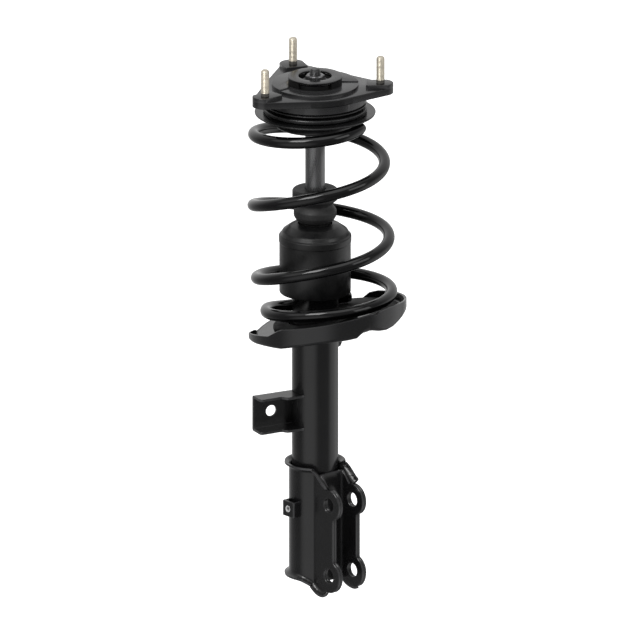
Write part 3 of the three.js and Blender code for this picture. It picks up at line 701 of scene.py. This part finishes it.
def seat_profile():
    """The seat's section: way out, inset from the rim, height, part of the bend, part of the wall, hem."""
    floor = (0, 0.02, 0.2, 0.4, 0.6, 0.75, 0.85, 0.9)
    up_the_wall = (0.35, 0.6, 0.8, 0.93)
    bend = [math.pi / 2 * k / 6 for k in range(7)]
    inner = FOLD - SEAT_SHEET
    profile = [(share, 0, 0, 0, 0, 0) for share in floor]
    profile += [(1, FOLD * (1 - math.sin(a)), 0, FOLD * (1 - math.cos(a)), 0, 1) for a in bend]
    profile += [(1, 0, 0, FOLD, w, 1 - w) for w in up_the_wall]
    profile += [(1, 0, -0.4, FOLD, 1, 0), (1, 0.5, 0, FOLD, 1, 0), (1, SEAT_SHEET - 0.5, 0, FOLD, 1, 0)]
    profile += [(1, SEAT_SHEET, -0.4, FOLD, 1, 0)]
    profile += [(1, SEAT_SHEET, SEAT_SHEET, inner, w, 1 - w) for w in reversed(up_the_wall)]
    profile += [(1, FOLD - inner * math.sin(a), SEAT_SHEET, inner * (1 - math.cos(a)), 0, 1)
                for a in reversed(bend)]
    return profile + [(share, 0, SEAT_SHEET, 0, 0, 0) for share in reversed(floor)]


def build_seat_dish():
    steps = 360
    profile = seat_profile()
    points = []
    for k in range(steps):
        a = TAU * k / steps
        degrees = 360 * k / steps
        if degrees >= SEAT_SEAM:
            degrees -= 360
        height, hem = wall_height(degrees), hem_drop(degrees)
        rim = seat_radius(degrees) - TUBE_HOLE
        bent = min(max((height - NO_WALL) / 4, 0), 1)
        for share, inset, lift, bend, wall, hem_share in profile:
            out = rim * share - inset
            r = TUBE_HOLE + out
            x, y = r * math.cos(a), SEAT_CENTRE_Y * out / rim + r * math.sin(a)
            start = lift + bend * bent
            up = start + wall * (height - start) if wall < 1 else height + lift
            points.append((x, y, seat_plane(x, y) + up - hem * hem_share))
    piece("seat_dish", points, grid_faces(steps, len(profile), True, True), paint, "strut_body",
          replaces=["lower_spring_seat"], slot="black_paint", sharp=math.radians(32))


def build_seat_rubber():
    """The rubber pad under the last coil, and the rubber ring round the tube."""
    pad = []
    fan = np.radians(np.linspace(-181, 59, 150))
    section = rounded([(49.5, 2.8), (81, 2.8), (81, 6.0, 0.8), (49.5, 6.0, 0.8)])
    for a in fan:
        for r, up in section:
            x, y = r * math.cos(a), SEAT_CENTRE_Y + r * math.sin(a)
            pad.append((x, y, seat_plane(x, y) + up))
    faces = grid_faces(len(fan), len(section), False, True) + end_faces(len(fan), len(section))
    hub, hub_faces = turned_mesh([(30, 2.8), (46.5, 2.8), (46.5, 6.4, 0.8), (30, 6.4)])
    hub = [(x, y, seat_plane(x, y) + up) for x, y, up in hub]
    piece("lower_insulator", *joined((pad, faces), (hub, hub_faces)), rubber, "strut_body",
          replaces=["lower_spring_insulator"], slot="black_rubber")


def build_seat_rib():
    rib = [(26.0, -280), (26.0, -315), (37, -313), (39.3, -307), (50, -282), (50, -277)]
    outline = rounded([(x, z, 2.0 if x > 30 else 0.2) for x, z in rib])
    piece("seat_rib", *sheet_mesh(outline, [], lambda s, t: (s, 1.5, t), -3.0), paint, "strut_body",
          replaces=["seat_gusset"], slot="black_paint")


# ---------------------------------------------------------------- damper


def build_damper():
    bumper = turned("foam_bumper", [
        (11.6, -218.8), (20, -218.8, 1), (22, -216, 1), (22, -169, 1.5), (17.3, -166, 1), (17.2, -161.2, 1.5),
        (21, -158.6, 2), (23.8, -153.5, 3), (23.8, -147.4, 4), (20.6, -143.3, 1.2), (19.2, -140.6, 1.6),
        (22.2, -137.2, 2), (25.4, -134.4, 2), (25.4, -124.6, 1.6), (23.8, -123, 0.8), (11.6, -123, 0.6),
    ], foam, "strut_body", 96, replaces=["jounce_bumper"], slot="bumper_foam")
    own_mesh(bumper)
    turned("shield_can", [
        (17.7, -165.2), (19.4, -162.2, 0.6), (27.5, -165, 6), (36.4, -171.2, 4), (38.2, -175, 1.2),
        (40.3, -176.6, 1.6), (40.3, -183.2, 1.4), (39.7, -184.6, 0.6), (39.7, -241.4, 0.5), (39.2, -242, 0.3),
        (38.0, -242, 0.3), (37.9, -185, 0.3), (38.3, -183, 0.6), (38.3, -177.8, 1), (36, -175, 2),
        (26.8, -167.6, 6),
    ], plastic, "strut_body", replaces=["dust_shield"], slot="black_plastic")
    turned("outer_tube", [
        (23, -566, 0.3), (25.8, -566, 0.6), (25.8, -222.4, 0.4), (25.3, -222, 0.3), (23, -222, 0.3),
    ], paint, "strut_body", replaces=["strut_tube"], slot="black_paint")
    turned("tube_lid", [
        (12.2, -221.7), (25.3, -221.7, 0.3), (25.3, -219.3, 1.6), (12.2, -219.2, 0.5),
    ], paint, "strut_body", replaces=["tube_top_cap"], slot="black_paint")
    turned("tube_base", [
        (0, -563), (14, -564, 3), (21.5, -566, 1), (22.7, -566, 0.4), (22.7, -563, 0.5), (14, -561, 3),
        (0, -560),
    ], paint, "strut_body", 96, replaces=["tube_bottom_cap"], slot="black_paint")
    build_bead("tube_top_bead", -222.2, 25.2, 0.9)


def build_bead(name, z, radius, size):
    """A rippled weld bead round the tube."""
    path, radii = [], []
    for k in range(180):
        a = TAU * k / 180
        path.append((radius * math.cos(a), radius * math.sin(a), z))
        radii.append(size * (1 + 0.12 * math.sin(a * 45)))
    piece(name, *swept_mesh(path, radii, 12, closed=True), paint, "strut_body", slot="black_paint")


# ---------------------------------------------------------------- clevis

SLEEVE = 29.1  # outer radius of the sheet where it wraps the tube
SLEEVE_TOP = -441.0
SLEEVE_BOTTOM = -567.0
SLEEVE_SHEET = 3.0
CHANNEL_SHEET = 2.7
EAR_OUT = 20.3  # from the middle to an ear's outer face
EAR_END = -75.0  # y that the ears' flat patterns reach to before they are cut to shape
EAR_EDGE = -52.6  # y of the ears' straight front edge, between the two lobes
BOLT_Y = -45.8
BOLTS = (-476.5, -558.4)  # heights of the two bolts
BOLT_HOLE = 8.0  # radius
LOBE = 17.7  # radius of the ear round a bolt
LOWER_LOBE_STRETCH = 1.1  # the lower lobe is this much deeper below its bolt
LIP = 5.0  # radius of the sheet's flare along its upper and lower edge
EAR_TOP = [  # y and z of the upper edge
    (-17, -441), (-21, -441.3), (-25, -443), (-29, -445.6), (-34, -449.8), (-39, -454.3), (-44, -457.2),
]
EAR_BOTTOM = [  # y and z of the lower edge, from its end backwards
    (-44, -579), (-41.5, -580.7), (-38.5, -581.3), (-34, -581), (-29.5, -579.6), (-25, -577),
    (-20.4, -573.8), (-15, -570.5), (-9, -568), (-4, -567.2),
]


def plan_path(points, smoothing=2.2):
    """A plan of (x, y) points as one smooth path: arrays of length along it, x and y."""
    fine = 0.25
    dense = []
    for a, b in zip(points, points[1:]):
        parts = max(1, math.ceil(math.dist(a, b) / fine))
        dense += [(a[0] + (b[0] - a[0]) * k / parts, a[1] + (b[1] - a[1]) * k / parts) for k in range(parts)]
    dense = np.array(dense + [points[-1]])
    width = int(smoothing / fine)
    kernel = np.hanning(2 * width + 3)[1:-1]
    kernel /= kernel.sum()
    padded = np.pad(dense, ((width, width), (0, 0)), mode="reflect", reflect_type="odd")
    dense = np.stack([np.convolve(padded[:, c], kernel, mode="valid") for c in (0, 1)], axis=1)
    along = np.concatenate([[0], np.cumsum(np.hypot(*np.diff(dense, axis=0).T))])
    return along, dense[:, 0], dense[:, 1]


def ear_outline(s_of_y, top, bottom, back_top, back_bottom):
    """Half of a clevis sheet's flat pattern, from the middle of its back round the ear and back again."""
    neck = math.acos((BOLT_Y - EAR_EDGE) / LOBE)
    half = [(0.0, back_top)] + [(s_of_y(y), z) for y, z in top]
    for a in np.linspace(math.radians(88), math.pi + neck, 29):
        half.append((s_of_y(BOLT_Y + LOBE * math.cos(a)), BOLTS[0] + LOBE * math.sin(a)))
    for a in np.linspace(math.pi - neck, math.radians(268), 29):
        deep = LOWER_LOBE_STRETCH if math.sin(a) < 0 else 1
        half.append((s_of_y(BOLT_Y + LOBE * math.cos(a)), BOLTS[1] + deep * LOBE * math.sin(a)))
    return half + [(s_of_y(y), z) for y, z in bottom] + [(0.0, back_bottom)]


def bolt_holes(s_of_y):
    return [circle(sign * s_of_y(BOLT_Y), z, BOLT_HOLE) for sign in (1, -1) for z in BOLTS]


def mirrored(half):
    """A whole outline from the half of it on one side of the middle."""
    return half + [(-s, z) for s, z in reversed(half[1:-1])]


def lip_at(depth):
    """How far the sheet stands out, this far in from its flared edge."""
    reach = np.clip(1 - depth / LIP, 0, 1)
    return LIP * (1 - np.sqrt(np.maximum(1 - reach ** 2, 0)))


def build_clevis_sheet():
    """The sheet that wraps the tube and ends in the two ears, flared along its upper and lower edge."""
    leave = math.asin(EAR_OUT / SLEEVE)
    arc = [(SLEEVE * math.sin(a), SLEEVE * math.cos(a)) for a in np.linspace(0, math.pi - leave, 60)]
    along, xs, ys = plan_path(arc + [(EAR_OUT, EAR_END)])
    straight = np.interp(30.0, -ys, along)

    def s_of_y(y):
        return straight + (-30.0 - y)

    edge_s = [0.0] + [s_of_y(y) for y, _ in EAR_TOP] + [s_of_y(-47)]
    edge_top = [SLEEVE_TOP] + [z for _, z in EAR_TOP] + [-458]
    foot = EAR_BOTTOM[::-1]
    foot_s = [0.0] + [s_of_y(y) for y, _ in foot]
    foot_z = [SLEEVE_BOTTOM] + [z for _, z in foot]

    def place(s, z):
        side = abs(s)
        x, y = np.interp(side, along, xs), np.interp(side, along, ys)
        ahead = np.interp(side + 0.3, along, xs) - x, np.interp(side + 0.3, along, ys) - y
        size = math.hypot(*ahead)
        out = (-ahead[1] / size, ahead[0] / size)
        fade = 1 - smooth_step(side, s_of_y(-43.8), s_of_y(-45.4))
        stand = lip_at(np.interp(side, edge_s, edge_top) - z) * fade
        stand += lip_at(z - np.interp(side, foot_s, foot_z)) * fade
        x, y = x + out[0] * stand, y + out[1] * stand
        return (x if s >= 0 else -x, y, z)

    half = ear_outline(s_of_y, EAR_TOP, EAR_BOTTOM, SLEEVE_TOP, SLEEVE_BOTTOM)
    rows = []
    for s in np.arange(-s_of_y(-43.5), s_of_y(-43.5), 1.5):
        high, low = np.interp(abs(s), edge_s, edge_top), np.interp(abs(s), foot_s, foot_z)
        for depth in (0.3, 0.8, 1.5, 2.3, 3.2, 4.2, 5.2):
            rows += [(float(s), float(high - depth)), (float(s), float(low + depth))]
    sheet = sheet_mesh(mirrored(half), bolt_holes(s_of_y), place, -SLEEVE_SHEET, gap=2.4, extra=rows)
    piece("clevis_sheet", *sheet, paint, "strut_body", replaces=["knuckle_bracket"], slot="black_paint",
          sharp=math.radians(40))


def build_clevis_channel():
    """The channel that lies inside the ears and closes the clevis in front of the tube."""
    outer_x, back_y = EAR_OUT - SLEEVE_SHEET - 0.3, -25.9
    along, xs, ys = plan_path([(0, back_y), (outer_x, back_y), (outer_x, EAR_END)], smoothing=3.0)
    straight = np.interp(40.0, -ys, along)

    def s_of_y(y):
        return straight + (-40.0 - y)

    def place(s, z):
        side = abs(s)
        x, y = np.interp(side, along, xs), np.interp(side, along, ys)
        return (x if s >= 0 else -x, y, z)

    top = [(-28.9, -446.5), (-33, -450.5), (-37.5, -456), (-40.5, -459.6)]
    bottom = [(-43.5, -575.8), (-38, -574.5), (-32, -572), (-28.9, -571.5)]
    half = ear_outline(s_of_y, top, bottom, -446, -571)
    channel = sheet_mesh(mirrored(half), bolt_holes(s_of_y), place, -CHANNEL_SHEET, gap=2.6)
    piece("clevis_channel", *channel, paint, "strut_body", replaces=["knuckle_reinforcement"],
          slot="black_paint", sharp=math.radians(40))


# ---------------------------------------------------------------- brackets on the tube


def build_link_bracket():
    """A channel across the tube, with the drop link's hole in its web."""
    angle = math.radians(165.6)
    out, across = (math.cos(angle), math.sin(angle)), (-math.sin(angle), math.cos(angle))
    middle, half, back = -376.7, 20.5, -11.7
    hole_out, hole_radius = 50.0, 6.4
    along, offs, ups = plan_path([(back, 0), (back, half), (20, half)], smoothing=3.6)
    web_end = np.interp(0.0, offs, along)

    def place(u, q):
        side = abs(q)
        off, up = float(np.interp(side, along, offs)), float(np.interp(side, along, ups))
        z = middle + math.copysign(up, q)
        return (out[0] * u + across[0] * off, out[1] * u + across[1] * off, z)

    def q_of(off):
        return web_end + off

    flange = ((72.2, 6), (71, 8.8), (68.5, 9.7), (56, 9.4), (50, 8.8), (46, 9.4), (43.5, 12.5), (41.5, 14.8),
              (38.5, 15.4))
    flange_edge = [(u, q_of(off)) for u, off in flange]
    tube_side = []
    for off in np.linspace(15.4, back, 16):
        start = math.sqrt(TUBE_HOLE ** 2 - off ** 2)
        tube_side.append((start, q_of(off)))
    for q in (16.0, 8.0):
        tube_side.append((math.sqrt(TUBE_HOLE ** 2 - back ** 2), q))
    upper = flange_edge + tube_side
    outline = upper + [(u, -q) for u, q in reversed(upper)]
    holes = [circle(hole_out, 0.0, hole_radius)]
    piece("link_channel", *sheet_mesh(outline, holes, place, 3.0, gap=2.4), paint, "strut_body",
          replaces=["link_bracket"], slot="black_paint", sharp=math.radians(40))


def build_hose_tab():
    """A small U of sheet on the clevis, with a plated collar in its hole."""
    low, high, face = -7.5, 11.4, -38.0
    top, bottom = -479.5, -497.0
    hole_y, hole_z = 3.0, -488.25
    centre = (low + high) / 2
    half = (high - low) / 2
    along, offs, xs = plan_path([(0, face), (half, face), (half, -20.0)], smoothing=2.2)

    def place(q, z):
        side = abs(q)
        y = centre + math.copysign(float(np.interp(side, along, offs)), q)
        return (float(np.interp(side, along, xs)), y, z)

    def end_q(y):
        reach = -math.sqrt((SLEEVE + 0.1) ** 2 - y ** 2)
        return float(np.interp(reach, xs, along))

    outline = [(end_q(high), top), (end_q(high), bottom), (-end_q(low), bottom), (-end_q(low), top)]
    holes = [circle(hole_y - centre, hole_z, 4.0, 28)]
    collar, faces = turned_mesh([(2.4, 0.5), (3.85, 0.3, 0.3), (3.85, 4.5), (2.4, 4.5)], 48)
    collar = [(z + face, hole_y + y, hole_z - x) for x, y, z in collar]
    piece("hose_tab_collar", collar, faces, bright_plate, "strut_body", slot="zinc_studs")
    piece("hose_tab", *sheet_mesh(outline, holes, place, -2.5, gap=1.6), paint, "strut_body",
          replaces=["hose_bracket"], slot="black_paint", sharp=math.radians(40))


# ---------------------------------------------------------------- studio

# Soft boxes: degrees round from the viewer (right is positive), degrees up, half-angles inside which each
# is full and outside which it is gone, and brightness.
SOFT_BOXES = [
    (180, 25, 25, 75, 0.4),
    (-28, -20, 10, 44, 0.62),
    (106, -20, 10, 38, 0.65),
    (-150, -10, 20, 60, 0.12),
    (20, 72, 16, 34, 1.3),
    (-70, 40, 10, 26, 0.8),
]
UNDER_LIGHT = 0.2  # brightness of the studio below the horizon
OVER_LIGHT = 0.3  # and above it
LAMPS = (  # name, degrees round from the viewer, degrees up, metres away, watts, metres across
    ("key", -35, 50, 2.2, 25, 1.0),
    ("fill", 60, 25, 2.4, 8, 1.2),
)
FLOOR_SIZE, FLOOR_LEVEL = 30.0, -1.6  # metres
VIEW_AZIMUTH = -41.1
VIEW_ELEVATION = 17.5
VIEW_MIDDLE = Vector((0.00409, -0.00357, -0.2759))
VIEW_WIDTH = 0.7092


def direction(round_from_viewer, up):
    """A unit vector out of the object, given from where the viewer stands."""
    turn, lift = math.radians(VIEW_AZIMUTH + round_from_viewer), math.radians(up)
    return Vector((math.sin(turn) * math.cos(lift), -math.cos(turn) * math.cos(lift), math.sin(lift)))


def build_world():
    """A dim studio with soft boxes in it, as a function of direction."""
    world = bpy.data.worlds.new("studio")
    world.use_nodes = True
    nodes, links = world.node_tree.nodes, world.node_tree.links
    facing = nodes.new("ShaderNodeTexCoord").outputs["Generated"]

    def towards(aim, low, high, value):
        dot = nodes.new("ShaderNodeVectorMath")
        dot.operation = "DOT_PRODUCT"
        dot.inputs[1].default_value = aim
        links.new(facing, dot.inputs[0])
        part = nodes.new("ShaderNodeMapRange")
        part.interpolation_type = "SMOOTHSTEP"
        part.inputs["From Min"].default_value = low
        part.inputs["From Max"].default_value = high
        part.inputs["To Max"].default_value = value
        links.new(dot.outputs["Value"], part.inputs["Value"])
        return part.outputs["Result"]

    total = towards((0, 0, 1), -0.12, 0.2, OVER_LIGHT - UNDER_LIGHT)
    for turn, up, full, gone, value in SOFT_BOXES:
        added = nodes.new("ShaderNodeMath")
        links.new(total, added.inputs[0])
        edge, core = math.cos(math.radians(gone)), math.cos(math.radians(full))
        links.new(towards(direction(turn, up), edge, core, value), added.inputs[1])
        total = added.outputs["Value"]
    base = nodes.new("ShaderNodeMath")
    base.inputs[1].default_value = UNDER_LIGHT
    links.new(total, base.inputs[0])
    links.new(base.outputs["Value"], nodes["Background"].inputs["Strength"])
    nodes["Background"].inputs["Color"].default_value = (1, 1, 1, 1)
    bpy.context.scene.world = world


def build_floor():
    """A pale floor that glows a little, so that it stays as light as the backdrop."""
    mesh = bpy.data.meshes.new("floor")
    corners = [(-1, -1), (1, -1), (1, 1), (-1, 1)]
    mesh.from_pydata([(FLOOR_SIZE * x, FLOOR_SIZE * y, FLOOR_LEVEL) for x, y in corners], [], [(0, 1, 2, 3)])
    floor = bpy.data.objects.new("floor", mesh)
    bpy.context.scene.collection.objects.link(floor)
    pale = material("pale_floor", (0.9, 0.9, 0.9), 0.9, patch=0.01, patch_scale=2, grain=0.02, grain_scale=40)
    shader = pale.node_tree.nodes["Principled BSDF"]
    shader.inputs["Emission Color"].default_value = (1, 1, 1, 1)
    shader.inputs["Emission Strength"].default_value = 0.75
    mesh.materials.append(pale)
    floor.visible_glossy = False


def build_lamps():
    for name, turn, up, away, power, size in LAMPS:
        light = bpy.data.lights.new(name, "AREA")
        light.energy, light.size = power, size
        lamp = bpy.data.objects.new(name, light)
        lamp.location = VIEW_MIDDLE + direction(turn, up) * away
        lamp.rotation_euler = (VIEW_MIDDLE - lamp.location).to_track_quat("-Z", "Y").to_euler()
        bpy.context.scene.collection.objects.link(lamp)


def build_camera():
    camera = bpy.data.cameras.new("camera")
    camera.type = "ORTHO"
    camera.ortho_scale = VIEW_WIDTH
    back = direction(0, VIEW_ELEVATION)
    eye = bpy.data.objects.new("camera", camera)
    eye.location = VIEW_MIDDLE + back * 2.0
    eye.rotation_mode = "QUATERNION"
    eye.rotation_quaternion = (-back).to_track_quat("-Z", "Y")
    bpy.context.scene.collection.objects.link(eye)
    bpy.context.scene.camera = eye


FINISH_OF_SLOT = {
    "black_paint": paint, "spring_paint": spring_paint, "zinc_studs": zinc, "bright_steel": steel,
    "piston_rod": rod_steel, "black_rubber": rubber, "bumper_foam": foam, "black_plastic": plastic,
}


bpy.context.scene.view_settings.view_transform = "Standard"
build_world()
build_floor()
build_lamps()
build_camera()
build_top_mount()
build_upper_seat()
build_spring()
build_seat_dish()
build_seat_rubber()
build_seat_rib()
build_damper()
build_clevis_sheet()
build_clevis_channel()
build_link_bracket()
build_hose_tab()
slots = {s["node"]: s["material_slot"] for s in frame["record"]["subparts"]}
for node, thing in frame["nodes"].items():
    if not thing.hide_render:
        thing.data.materials.clear()
        thing.data.materials.append(FINISH_OF_SLOT[slots[node]])
